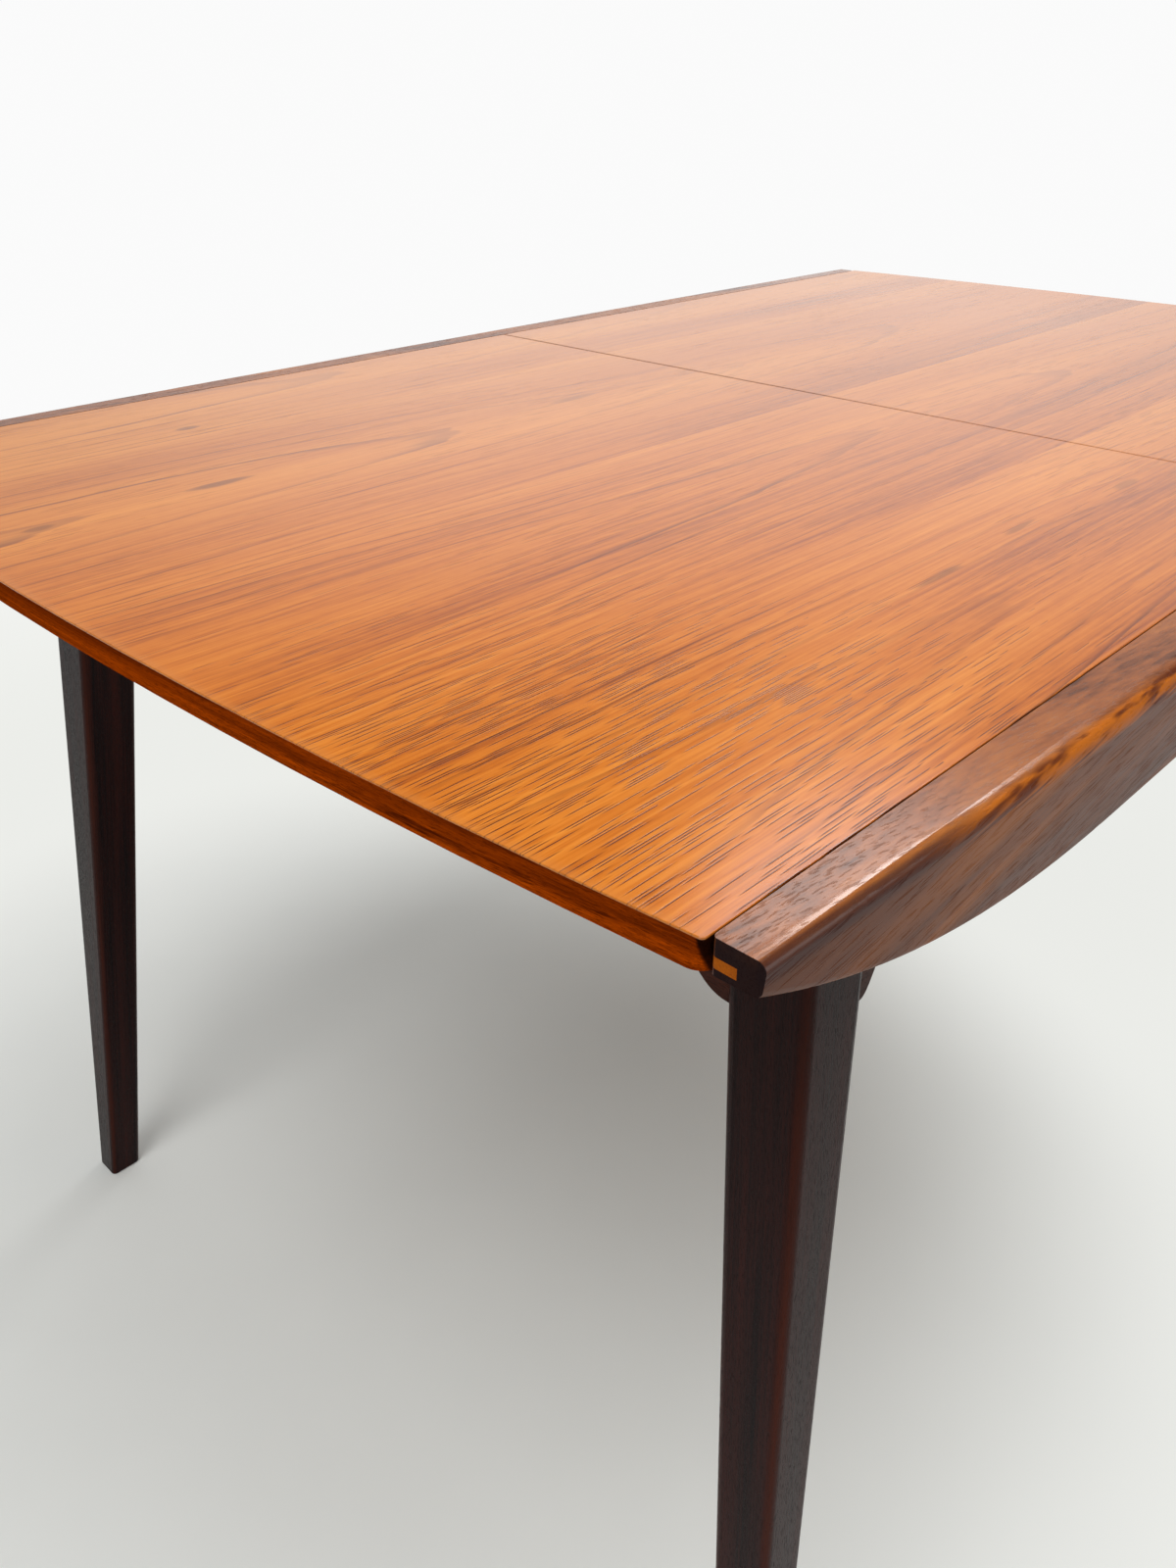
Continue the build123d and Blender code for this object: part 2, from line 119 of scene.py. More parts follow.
# Painted shade under the rubbed edge of the rails, towards their ends
UNDER_EDGE_PAINTED_SHADE = (0.060, 0.016, 0.012)
END_GRAIN = (0.010, 0.004, 0.005)
# Painted highlight along the rounded corners of the legs
CORNER_PAINTED_HIGHLIGHT = (0.075, 0.014, 0.005)
TARNISH = (0.34, 0.31, 0.26)

# Stage: the floor's size and the middle of the shadow that its painted glow leaves on it in metres, the
# floor's glow, the white behind it and the direction of the window
FLOOR_SIZE = 16.0
SHADOW_X, SHADOW_Y = -0.35, 0.20
FLOOR_GLOW = (0.895, 0.905, 0.870)
WHITE = (1.0, 1.0, 1.0)
WHITE_LEVEL = 0.96
WINDOW_X, WINDOW_Y = 0.79, 0.61
SENSOR_HEIGHT = 36.0         # of the camera, in millimetres

# Soft round lamps: where each hangs, what it is aimed at and how wide it is, in metres
LAMPS = {
    "key": ((-1.60, -0.42, 2.80), (-0.2, -0.1, 0.5), 1.3),
    "overhead": ((-0.2, -1.3, 3.0), (-0.2, -0.6, 0.0), 2.0),
    "edge": ((1.78, -0.13, 2.90), (-0.5, -0.4, 0.75), 0.75),
    "back": ((1.51, 0.70, 2.61), (-0.55, -0.4, 0.75), 0.9),
}


def colour_property(name, description, default):
    return FloatVectorProperty(name=name, description=description, subtype="COLOR", size=3, min=0.0, max=1.0,
                               default=default)


def power_property(name, description, default):
    return FloatProperty(name=name, description=description, unit="POWER", default=default)


class TableFinishes(bpy.types.PropertyGroup):
    veneer_light: colour_property("Veneer, light", "Early wood of the top's veneer", (0.71, 0.250, 0.027))
    veneer_body: colour_property("Veneer, body", "Main tone of the top's veneer", (0.55, 0.160, 0.012))
    veneer_dark: colour_property("Veneer, dark", "Late wood of the top's veneer", (0.29, 0.070, 0.010))
    pore: colour_property("Pores", "Open pores of the veneer", (0.090, 0.016, 0.001))
    lipping_light: colour_property("Lipping, light", "Light streaks of the top's edges", (0.72, 0.100, 0.001))
    lipping_dark: colour_property("Lipping, dark", "Dark streaks of the top's edges", (0.12, 0.014, 0.001))
    rail_light: colour_property("Rail, light", "Orange streaks of the side rails", (0.46, 0.155, 0.034))
    rail_body: colour_property("Rail, body", "Main tone of the side rails", (0.285, 0.086, 0.023))
    rail_dark: colour_property("Rail, dark", "Dark streaks of the side rails", (0.085, 0.026, 0.012))
    leg_light: colour_property("Leg, light", "Red streaks of the stained legs", (0.044, 0.008, 0.0055))
    leg_dark: colour_property("Leg, dark", "Main tone of the stained legs", (0.008, 0.003, 0.0034))
    # The aprons' tones are darkened to stand for the shade under the top: painted shade
    apron_light: colour_property("Apron, light", "Light streaks of the aprons", (0.085, 0.020, 0.009))
    apron_dark: colour_property("Apron, dark", "Dark streaks of the aprons", (0.028, 0.007, 0.0045))
    runner_light: colour_property("Runner, light", "Light tone of the oiled runners", (0.52, 0.128, 0.005))
    runner_dark: colour_property("Runner, dark", "Dark tone of the oiled runners", (0.34, 0.072, 0.002))
    beech_light: colour_property("Beech, light", "Light tone of the bare hardwood", (0.70, 0.46, 0.22))
    beech_dark: colour_property("Beech, dark", "Dark tone of the bare hardwood", (0.50, 0.29, 0.12))
    board: colour_property("Board", "Backing veneer under the halves", (0.42, 0.24, 0.11))
    steel: colour_property("Screws", "Plated screw heads", (0.60, 0.58, 0.54))


class TableStage(bpy.types.PropertyGroup):
    floor_colour: colour_property("Floor", "Pale painted floor", (0.90, 0.92, 0.89))
    camera_place: FloatVectorProperty(name="Camera", description="Where the camera stands",
                                      subtype="TRANSLATION", unit="LENGTH", default=(-0.876, -0.571, 0.981))
    camera_turn: FloatVectorProperty(name="Camera turn", subtype="EULER", unit="ROTATION",
                                     description="Tilt up from straight down, roll and heading",
                                     default=(math.radians(59.715), 0.0, math.radians(-46.15)))
    lens: FloatProperty(name="Lens", description="Focal length of the camera", unit="CAMERA", default=28.08)
    key_power: power_property("Key lamp", "Power of the soft lamp behind the camera", 32.5)
    overhead_power: power_property("Overhead lamp", "Power of the soft lamp above the table", 28.0)
    edge_power: power_property("Edge lamp", "Power of the small lamp that lights the rail's edge", 20.0)
    back_power: power_property("Back lamp", "Power of the soft lamp behind the table", 8.5)


class Shade:
    """A value on its way through a node tree. Arithmetic on it adds Math nodes."""

    def __init__(self, nodes, socket):
        self.nodes = nodes
        self.socket = socket

    def maths(self, operation, first, second=0.0):
        return self.nodes.node("ShaderNodeMath", {"operation": operation}, {0: first, 1: second})

    def __add__(self, other):
        return self.maths("ADD", self, other)

    def __radd__(self, other):
        return self.maths("ADD", other, self)

    def __sub__(self, other):
        return self.maths("SUBTRACT", self, other)

    def __rsub__(self, other):
        return self.maths("SUBTRACT", other, self)

    def __mul__(self, other):
        return self.maths("MULTIPLY", self, other)

    def __truediv__(self, other):
        return self.maths("DIVIDE", self, other)

    def __abs__(self):
        return self.maths("ABSOLUTE", self)

    def __floor__(self):
        return self.maths("FLOOR", self)

    def __gt__(self, other):
        return self.maths("GREATER_THAN", self, other)

    def __lt__(self, other):
        return self.maths("LESS_THAN", self, other)

    def squared(self):
        return self * self

    def at_least(self, low):
        return self.maths("MAXIMUM", self, low)

    def at_most(self, high):
        return self.maths("MINIMUM", self, high)

    def rise(self, low, high):
        """0 up to low, 1 from high on, and smooth between them."""
        return self.nodes.node("ShaderNodeMapRange", {"interpolation_type": "SMOOTHSTEP"},
                               {"Value": self, "From Min": low, "From Max": high})


class Nodes:
    """A node tree that is being filled."""

    def __init__(self, tree):
        self.tree = tree
        tree.nodes.clear()

    def node(self, kind, settings=None, sockets=None, output=0):
        made = self.tree.nodes.new(kind)
        for key, value in (settings or {}).items():
            if key == "stops":
                self.set_stops(made.color_ramp, value)
            else:
                setattr(made, key, value)
        for key, value in (sockets or {}).items():
            if isinstance(value, Shade):
                self.tree.links.new(value.socket, made.inputs[key])
            else:
                made.inputs[key].default_value = value
        return Shade(self, made.outputs[output]) if made.outputs else None

    def set_stops(self, ramp, stops):
        while len(ramp.elements) < len(stops):
            ramp.elements.new(1.0)
        for element, (place, colour) in zip(ramp.elements, stops):
            element.position = place
            element.color = (*colour, 1.0)

    def ramp(self, value, stops):
        return self.node("ShaderNodeValToRGB", {"stops": stops}, {0: value})

    def mix(self, share, first, second):
        sockets = {0: share, 6: opaque(first), 7: opaque(second)}
        return self.node("ShaderNodeMix", {"data_type": "RGBA"}, sockets, 2)

    def stretch(self, place, factors):
        return self.node("ShaderNodeVectorMath", {"operation": "MULTIPLY"}, {0: place, 1: factors})

    def chance(self, x, y):
        """An even random value from 0 to 1 for each pair of whole numbers."""
        place = self.join(x, y, 0.0)
        return self.node("ShaderNodeTexWhiteNoise", {"noise_dimensions": "2D"}, {"Vector": place})

    def join(self, x, y, z):
        return self.node("ShaderNodeCombineXYZ", None, {0: x, 1: y, 2: z})

    def split(self, vector):
        first = self.node("ShaderNodeSeparateXYZ", None, {0: vector})
        return [Shade(self, output) for output in first.socket.node.outputs]

    def noise(self, place, factors, detail=0.0, roughness=0.5):
        return self.node("ShaderNodeTexNoise", None, {"Vector": self.stretch(place, factors), "Scale": 1.0,
                                                      "Detail": detail, "Roughness": roughness})

    def place(self, turn=ALONG):
        """Object coordinates, turned so that the grain runs along X."""
        at = self.node("ShaderNodeTexCoord", None, None, "Object")
        if any(turn):
            at = self.node("ShaderNodeMapping", {"vector_type": "POINT"}, {"Vector": at, "Rotation": turn})
        return at

    def ray_kinds(self):
        """Whether the camera sees a place directly, and whether it sees it mirrored or through glass."""
        path = self.node("ShaderNodeLightPath").socket.node.outputs
        kinds = ("Is Camera Ray", "Is Glossy Ray", "Is Transmission Ray")
        camera, glossy, through = (Shade(self, path[kind]) for kind in kinds)
        return camera, glossy + through

    def shader(self, colour, roughness, height, depth, constants=None):
        bump = self.node("ShaderNodeBump", None, {"Height": height, "Distance": depth, "Strength": 1.0})
        sockets = {"Base Color": colour, "Roughness": roughness, "Normal": bump}
        sockets.update(constants or {})
        return self.node("ShaderNodeBsdfPrincipled", None, sockets)

    def mix_shaders(self, share, first, second):
        return self.node("ShaderNodeMixShader", None, {0: share, 1: first, 2: second})

    def finish(self, shader):
        self.node("ShaderNodeOutputMaterial", None, {"Surface": shader})

    def surface(self, *finish):
        self.finish(self.shader(*finish))


def opaque(colour):
    return colour if isinstance(colour, Shade) else (*tuple(colour)[:3], 1.0)


def scaled(colour, share):
    return tuple(min(1.0, share * part) for part in colour)


def at_each(places, piece):
    """Names of a piece that repeats, such as front_veneer and rear_veneer."""
    return [f"{place}_{piece}" for place in places]


def new_finish(name):
    material = bpy.data.materials.new(name)
    material.use_nodes = True
    return material, Nodes(material.node_tree)


def dress(names, material):
    """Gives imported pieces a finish, in every slot that they have."""
    for name in names:
        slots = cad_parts[name].material_slots
        if not slots:
            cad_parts[name].data.materials.append(material)
        for slot in slots:
            slot.material = material


def solid_wood(nodes, place, dark, light, figure, waviness, body=None, pore_share=0.5,
               pore_size=(190.0, 2300.0)):
    """Colour, tone and pores of solid wood whose grain runs along X. figure is the streaks' width, waviness is
    how far they wander, both in metres, and pore_size is how many pores a metre holds along and across."""
    bend = nodes.noise(place, (2.2, 9.0, 9.0), 2.0) - 0.5
    along, across, depth = nodes.split(place)
    wavy = nodes.join(along, across + bend * waviness, depth + bend * waviness)
    broad = nodes.noise(wavy, (1.6, 1 / figure, 1 / figure), 3.0, 0.55)
    fine = nodes.noise(wavy, (5.0, 7 / figure, 7 / figure), 3.0, 0.65)
    tone = broad * 0.62 + fine * 0.38
    middle = body or tuple((a + b) / 2 for a, b in zip(dark, light))
    colour = nodes.ramp(tone, [(0.36, dark), (0.50, middle), (0.66, light)])
    pores = nodes.noise(wavy, (pore_size[0], pore_size[1], pore_size[1]), 1.0).rise(0.54, 0.66)
    colour = nodes.mix(pores * pore_share, colour, scaled(dark, 0.35))
    return colour, tone, pores


def near_top(z, low, high):
    """0 up to low under the top's face, 1 from high under it, in metres, and smooth between them."""
    return z.rise(TOP_HEIGHT - low, TOP_HEIGHT - high)


def dress_bare_wood(name, turn, dark, light, pieces, constants=None):
    """Hardwood without polish: faint streaks and short ray flecks."""
    material, nodes = new_finish(name)
    place = nodes.place(turn)
    colour, tone = solid_wood(nodes, place, dark, light, figure=0.010, pore_share=0.25, waviness=0.004)[:2]
    rays = nodes.noise(place, (260.0, 900.0, 900.0), 1.0).rise(0.63, 0.72)
    colour = nodes.mix(rays * 0.35, colour, scaled(dark, 0.6))
    rough = 0.52 + (tone - 0.5) * 0.2 + rays * 0.08
    nodes.surface(colour, rough, tone * 0.4 - rays * 0.5, WOOD_DEPTH, constants)
    dress(pieces, material)


class VeneerGrain:
    """The veneer's leaves, growth rings, streaks and pores, worked out from the place on the top."""

    def __init__(self, nodes):
        self.nodes = nodes
        self.place = nodes.place()
        self.x, self.y, z = nodes.split(self.place)
        self.sway = self.texture("sway", self.place) - 0.5
        self.ragged = self.texture("ragged", self.place) - 0.5
        self.patch = self.texture("patch", self.place)
        self.wavy = nodes.join(self.x, self.y + self.sway * GRAIN_SWAY, z)
        self.fibre = self.texture("fibre", self.wavy) - 0.5
        self.fleck = self.texture("fleck", self.wavy) - 0.5
        self.lay_leaves()
        self.grow_rings()
        self.open_up()

    def texture(self, name, place):
        along, across, detail, roughness = VENEER_TEXTURES[name]
        return self.nodes.noise(place, (along, across, 1.0), detail, roughness)

    def lay_leaves(self):
        """Each place's leaf, counted from the right, and how far in it the place lies, from 0 to 1."""
        leaf, start, width = 0.0, LEAF_EDGES[0], LEAF_EDGES[1] - LEAF_EDGES[0]
        for before, joint, after in zip(LEAF_EDGES, LEAF_EDGES[1:], LEAF_EDGES[2:]):
            past = self.y > joint
            leaf = leaf + past
            start = start + past * (joint - before)
            width = width + past * ((after - joint) - (joint - before))
        self.leaf = leaf
        self.inside = (self.y - start) / width

    def grow_rings(self):
        """Cathedral figure: rings that close over each other along the middle of a leaf."""
        middle = self.inside * 2.0 - 1.05 + self.sway * 0.5
        figure = middle * middle * 1.05 + self.x * 0.42 + self.sway * 0.30 + self.ragged * 0.05
        rings = (figure + self.leaf * 0.37) * RINGS
        ring = math.floor(rings)
        self.phase = rings - ring
        self.ring_tone = self.nodes.chance(ring, self.leaf)

    def open_up(self):
        """How open and how bold the grain is. Both fade away from the corner nearest to the camera."""
        along = (self.x - OPEN_CORNER_X).squared()
        from_corner = along + (self.y - OPEN_CORNER_Y).squared()
        self.open_grain = 1.0 - from_corner.rise(0.01, 0.13)
        self.bold = 1.0 - (from_corner - along * 0.6).rise(0.03, 0.48)

    def growth_lines(self):
        """Dark lines where rings end, fainter towards the rear."""
        lines = self.phase.rise(0.82, 0.965) * (1.0 - self.phase.rise(0.97, 0.99))
        lines = lines * self.ring_tone.rise(0.05, 0.70) * (self.patch.rise(0.40, 0.60) * 0.6 + 0.4)
        return lines * (1.0 - self.x.rise(-0.45, 0.05) * 0.65)

    def tone(self):
        """Light and dark of the streaks, flecks and leaves. A leaf darkens towards its right edge."""
        broad = self.texture("broad", self.wavy) - 0.5
        mottle = self.texture("mottle", self.place) - 0.5
        tone = broad * 0.34 + self.fibre * (self.bold * 0.22 + 0.11)
        tone = tone + self.fleck * (self.open_grain * 0.10 + self.bold * 0.08 + 0.06) + mottle * 0.04
        late_wood = self.phase.rise(0.45, 0.95) * (1.0 - self.phase.rise(0.965, 1.0))
        shading = (0.55 - self.inside) * self.x.rise(-0.55, -0.10)
        tone = tone - late_wood * self.ring_tone * 0.03 - shading * 0.115
        rightmost, leftmost = self.leaf < 0.5, self.leaf > len(LEAF_EDGES) - 2.5
        tone = tone + leftmost * 0.05 + self.y.rise(-0.1, 0.3) * 0.012
        return tone - rightmost * self.x.rise(-0.50, -0.15) * 0.035 - self.x.rise(-0.1, 0.4) * 0.022

    def pores(self):
        """Thin dark dashes in rows along the grain, closest where a ring begins and the grain is open."""
        rows = (self.y + self.sway * GRAIN_SWAY + self.ragged * 0.0030) * PORE_ROWS
        row = math.floor(rows)
        shift = self.nodes.chance(row * 1.37, 0.0) * 9.0
        dashes = self.x * PORE_DASHES + shift
        dash = math.floor(dashes)
        along = dashes - dash
        early_wood = 1.0 - self.phase.rise(0.05, 0.55)
        density = 0.06 + early_wood * 0.16 + (self.patch - 0.5) * 0.8 + self.open_grain * 0.36
        there = density > self.nodes.chance(dash, row)
        pores = there * along.rise(0.02, 0.25) * (1.0 - along.rise(0.65, 0.98))
        return pores * (1.0 - abs(rows - row - 0.5).rise(0.10, 0.34))

    def mark(self, mark_x, mark_y, length, breadth):
        along, across = (self.x - mark_x) / length, (self.y - mark_y + self.ragged * 0.012) / breadth
        return 1.0 - (along.squared() + across.squared()).rise(0.15, 1.0)


class TABLE_OT_dress_veneer(bpy.types.Operator):
    """Teak veneer of the halves: leaves side by side with cathedral figure, fine streaks and open pores"""
    bl_idname = "table.dress_veneer"
    bl_label = "Dress the veneer"

    def execute(self, context):
        tones = context.scene.table_finishes
        material, nodes = new_finish("top_veneer")
        grain = VeneerGrain(nodes)
        colour = nodes.ramp(grain.tone() + 0.5, [(0.36, tones.veneer_dark), (0.475, tones.veneer_body),
                                                 (0.610, tones.veneer_light)])
        colour = nodes.mix(grain.bold * 0.12, colour, RED_TINGE)
        colour = nodes.mix(grain.growth_lines() * 0.75, colour, GROWTH_LINE)
        pores = grain.pores()
        colour = nodes.mix(pores * (grain.open_grain * 0.54 + 0.42), colour, tones.pore)
        for *place, strength in DARK_MARKS:
            colour = nodes.mix(grain.mark(*place) * strength, colour, tones.pore)

        # The ends' upper edges are worn to a clear orange, and the seam has filled with dark polish
        x, y = grain.x, grain.y
        bow = y * y * ((TOP_CORNER_X - TOP_MIDDLE_X) / TOP_HALF_WIDTH ** 2) + TOP_MIDDLE_X
        worn = (abs(x) - bow + 0.007).rise(0.0, 0.0065)
        colour = nodes.mix(worn * 0.45, colour, WORN_EDGE)
        seam = 1.0 - abs(x).rise(0.0006, 0.0030)
        colour = nodes.mix(seam * (y.rise(-0.35, 0.10) * 0.30 + 0.15), colour, SEAM_POLISH)

        smudge = grain.texture("smudge", grain.place) - 0.5
        rough = 0.19 + pores * 0.03 + smudge * 0.05 + grain.fibre * 0.06 + seam * 0.2
        height = grain.fleck * 0.25 + grain.fibre * 0.25 - pores * 0.5
        nodes.surface(colour, rough, height, VENEER_DEPTH)
        dress(at_each(ENDS, "veneer"), material)
        return {"FINISHED"}


class TABLE_OT_dress_lippings(bpy.types.Operator):
    """Solid lippings round the halves. Those of the ends run across the table, the others along it"""
    bl_idname = "table.dress_lippings"
    bl_label = "Dress the lippings"

    def execute(self, context):
        tones = context.scene.table_finishes
        groups = {
            "end_lipping": (ACROSS, at_each(ENDS, "end_lipping")),
            "seam_lipping": (ACROSS, at_each(ENDS, "seam_lipping")),
            "side_lipping": (ALONG, at_each(CORNERS, "side_lipping")),
        }
        for name, (turn, pieces) in groups.items():
            material, nodes = new_finish(name)
            place = nodes.place(turn)
            colour, tone, pores = solid_wood(nodes, place, tones.lipping_dark, tones.lipping_light,
                                             figure=0.0055, waviness=0.002)

            # Darker in the upper half. Painted shade makes it darker towards the left, away from the lamps,
            # and near black in the gaps beside the rails, on edges that are also stained dark
            height_in_lip = nodes.split(place)[2] - LIPPING_MIDDLE
            colour = nodes.mix(height_in_lip.rise(-0.0015, 0.0015) * 0.50, colour, tones.lipping_dark)
            y = nodes.split(nodes.place())[1]
            in_gap = abs(y).rise(TOP_HALF_WIDTH - 0.0035, TOP_HALF_WIDTH - 0.0020)
            colour = nodes.mix(y.rise(0.0, 0.40) * 0.35, colour, tones.lipping_dark)
            colour = nodes.mix(in_gap * 0.95, colour, GAP_STAIN_AND_SHADE)
            rough = 0.40 + pores * 0.14 + (tone - 0.5) * 0.2
            nodes.surface(colour, rough, tone * 0.4 - pores, WOOD_DEPTH, {"Specular IOR Level": 0.0})
            dress(pieces, material)
        return {"FINISHED"}


class TABLE_OT_dress_side_rails(bpy.types.Operator):
    """Side rails with grain that runs out slightly along their outer faces, polished by hands on top"""
    bl_idname = "table.dress_side_rails"
    bl_label = "Dress the side rails"

    def execute(self, context):
        tones = context.scene.table_finishes
        material, nodes = new_finish("side_rail")
        place = nodes.place(RAIL_GRAIN)
        colour, tone, pores = solid_wood(nodes, place, tones.rail_dark, tones.rail_light, figure=0.024,
                                         body=tones.rail_body, pore_share=0.20, waviness=0.012,
                                         pore_size=(45.0, 1000.0))
        x, y, z = nodes.split(nodes.place())
        end_grain = abs(x).rise(RAIL_END_X - 0.0004, RAIL_END_X - 0.0001)
        near_end = abs(x).rise(RUBBED_FROM, RUBBED_TO)

        # The outer face has a flame figure, and the rounded edge an orange band with dark streaks
        face = 1.0 - near_top(z, 0.005, 0.0008)
        flame = nodes.noise(nodes.place(FLAME_GRAIN), (1.7, 30.0, 30.0), 4.0, 0.60)
        flame_colour = nodes.ramp(flame, [(0.34, FLAME_DARK), (0.50, FLAME_BODY), (0.68, FLAME_LIGHT)])
        colour = nodes.mix(face * 0.75, colour, flame_colour)
        colour = nodes.mix(face * near_end * 0.40, colour, RAIL_END_FACE)
        streak = nodes.noise(place, (5.0, 190.0, 190.0), 2.0).rise(0.42, 0.60)
        band = near_top(z, 0.013, 0.008) * (1.0 - near_top(z, 0.0018, 0.0003))
        colour = nodes.mix(band * (1.0 - near_end) * 0.90, colour, nodes.mix(streak, BAND_LIGHT, BAND_DARK))

        # Towards the ends the edge is rubbed softer than its round-over, with painted shade under that
        outer_y = RAIL_INNER_Y + RAIL_MID_WIDTH - x * x * (RAIL_NARROWING / RAIL_END_X ** 2)
        rubbed = (RUBBED_WIDTH - (outer_y - abs(y))).at_least(0.0)
        painted_shade_under_edge = near_top(z, 0.012, 0.006) * rubbed.rise(0.0060, 0.0085)
        colour = nodes.mix(painted_shade_under_edge * near_end * 0.80, colour, UNDER_EDGE_PAINTED_SHADE)
        colour = nodes.mix(end_grain * 0.94, colour, END_GRAIN)

        # Hands have polished the flat, most of all towards the ends
        handled = near_top(z + near_end * 0.0016, 0.0014, 0.0002) * (1.0 - end_grain)
        handled = handled * (abs(x).rise(POLISHED_FROM, POLISHED_TO) * 0.4 + 0.6)
        rough = 0.40 + pores * 0.18 + (tone - 0.5) * 0.25 + end_grain * 0.4
        bare = nodes.shader(colour, rough, tone * 0.3 - pores, WOOD_DEPTH, {"Specular IOR Level": 0.095})
        fall = rubbed * rubbed * near_end * 2.3e5
        polished = nodes.shader(colour, 0.20 + pores * 0.10, tone * 0.1 - pores * 0.12 - fall, WOOD_DEPTH)
        nodes.finish(nodes.mix_shaders(handled * (1.0 - pores * 0.25), bare, polished))
        dress(at_each(SIDES, "side_rail"), material)
        return {"FINISHED"}


class TABLE_OT_dress_legs(bpy.types.Operator):
    """Dark-stained legs, each with its grain along its own slope"""
    bl_idname = "table.dress_legs"
    bl_label = "Dress the legs"

    def execute(self, context):
        tones = context.scene.table_finishes
        for name in at_each(CORNERS, "leg"):
            low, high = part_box(name)
            toward_x = 1.0 if low.x > 0 else -1.0
            toward_y = 1.0 if low.y > 0 else -1.0
            slope = Vector((toward_x * LEG_SPLAY, toward_y * LEG_SPLAY, -high.z))
            turn = slope.rotation_difference(Vector((1.0, 0.0, 0.0))).to_euler()
            material, nodes = new_finish(name)
            colour, tone, pores = solid_wood(nodes, nodes.place(tuple(turn)), tones.leg_dark, tones.leg_light,
                                             figure=0.012, waviness=0.004)

            # Painted highlight: the rounded corners are lighter, a dark red, where they catch the light
            x, y, z = nodes.split(nodes.place())
            up = z / high.z
            half = up * (LEG_HALF_TOP - LEG_HALF_FOOT) + LEG_HALF_FOOT
            corner = 1.0
            for at, first, last, toward in ((x, low.x, high.x, toward_x), (y, low.y, high.y, toward_y)):
                inner, outer = sorted((first, last), key=abs)
                foot, top = outer - toward * LEG_HALF_FOOT, inner + toward * LEG_HALF_TOP
                corner = abs((at - (up * (top - foot) + foot)) / half).rise(0.70, 0.95) * corner
            colour = nodes.mix(corner * (tone.rise(0.35, 0.60) * 0.5 + 0.2), colour, CORNER_PAINTED_HIGHLIGHT)
            rough = 0.28 + pores * 0.18 + (tone - 0.5) * 0.2
            nodes.surface(colour, rough, tone * 0.3 - pores, STAINED_DEPTH, {"Specular IOR Level": 0.070})
            dress([name], material)
        return {"FINISHED"}


class TABLE_OT_dress_aprons(bpy.types.Operator):
    """Aprons between the legs, with their grain along their length"""
    bl_idname = "table.dress_aprons"
    bl_label = "Dress the aprons"

    def execute(self, context):
        tones = context.scene.table_finishes
        groups = {
            "end_apron": (ACROSS, at_each(ENDS, "end_apron")),
            "side_apron": (ALONG, at_each(SIDES, "side_apron")),
        }
        for name, (turn, pieces) in groups.items():
            material, nodes = new_finish(name)
            # The aprons' tones carry painted shade, as dark as the aprons look under the top
            colour, tone, pores = solid_wood(nodes, nodes.place(turn), tones.apron_dark, tones.apron_light,
                                             figure=0.018, waviness=0.008)
            rough = 0.36 + pores * 0.2 + (tone - 0.5) * 0.2
            nodes.surface(colour, rough, tone * 0.3 - pores, WOOD_DEPTH, {"Specular IOR Level": 0.08})
            dress(pieces, material)
        return {"FINISHED"}


class TABLE_OT_dress_runners(bpy.types.Operator):
    """Oiled runners in the rails, which the halves slide on"""
    bl_idname = "table.dress_runners"
    bl_label = "Dress the runners"

    def execute(self, context):
        tones = context.scene.table_finishes
        dress_bare_wood("runner", ALONG, tones.runner_dark, tones.runner_light, at_each(SIDES, "runner"),
                        {"Specular IOR Level": 0.04})
        return {"FINISHED"}


class TABLE_OT_dress_underframe(bpy.types.Operator):
    """Bare hardwood: bearers, corner blocks, stops and dowels"""
    bl_idname = "table.dress_underframe"
    bl_label = "Dress the underframe"

    def execute(self, context):
        tones = context.scene.table_finishes
        dress_bare_wood("beech_along", ALONG, tones.beech_dark, tones.beech_light,
                        at_each(CORNERS, "corner_block") + ["seam_dowels"])
        dress_bare_wood("beech_across", ACROSS, tones.beech_dark, tones.beech_light,
                        ["front_bearer", "centre_bearer", "rear_bearer", "rail_dowels"]
                        + at_each(ENDS, "stop_blocks"))
        return {"FINISHED"}


class TABLE_OT_dress_boards(bpy.types.Operator):
    """The boards under the veneer, with a plain backing veneer below"""
    bl_idname = "table.dress_boards"
    bl_label = "Dress the boards"

    def execute(self, context):
        board = context.scene.table_finishes.board
        material, nodes = new_finish("panel_core")
        colour, tone, pores = solid_wood(nodes, nodes.place(), scaled(board, 0.6), scaled(board, 1.25),
                                         figure=0.020, pore_share=0.4, waviness=0.010)
        rough = 0.55 + (tone - 0.5) * 0.2
        nodes.surface(colour, rough, tone * 0.4 - pores, WOOD_DEPTH)
        dress(at_each(ENDS, "core_panel"), material)
        return {"FINISHED"}


class TABLE_OT_dress_screws(bpy.types.Operator):
    """Plated screws of the blocks, bearers and stops"""
    bl_idname = "table.dress_screws"
    bl_label = "Dress the screws"

    def execute(self, context):
        material, nodes = new_finish("screw_steel")
        tarnish = nodes.noise(nodes.place(), (600.0, 600.0, 600.0), 3.0)
        steel = context.scene.table_finishes.steel
        colour = nodes.mix(tarnish.rise(0.45, 0.7) * 0.5, steel, TARNISH)
        rough = 0.30 + tarnish * 0.2
        nodes.surface(colour, rough, tarnish, STEEL_DEPTH, {"Metallic": 1.0})
        dress(["corner_block_screws", "bearer_screws"] + at_each(ENDS, "stop_screws"), material)
        return {"FINISHED"}


